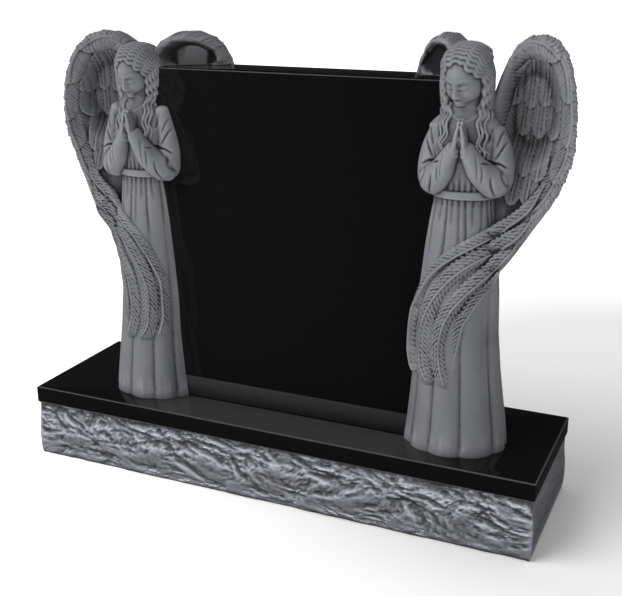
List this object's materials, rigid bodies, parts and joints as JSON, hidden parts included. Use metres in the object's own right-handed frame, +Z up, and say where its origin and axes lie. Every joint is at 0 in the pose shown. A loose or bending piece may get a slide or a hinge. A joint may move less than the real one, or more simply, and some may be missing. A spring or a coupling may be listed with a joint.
{
  "type": "angel headstone",
  "caption": "Upright polished stone tablet flanked by carved praying angels whose wings wrap round it, on a rock-pitched plinth, for marking a grave or memorial plot.",
  "frame": {"origin": "middle of the underside of the plinth", "axes": "X runs along the stone with the right-hand angel on +X, Y runs from the inscription face to the back, Z is up"},
  "size_m": [1.384, 0.402, 1.1596],
  "materials": {
    "polished_granite": "mirror polished, with rock-pitched sides on the plinth",
    "carved_granite": "carved and left matt"
  },
  "bodies": {
    "root": {"base": "polished_granite", "tablet": "polished_granite", "angel_left": "carved_granite", "angel_right": "carved_granite"}
  },
  "joints": []
}
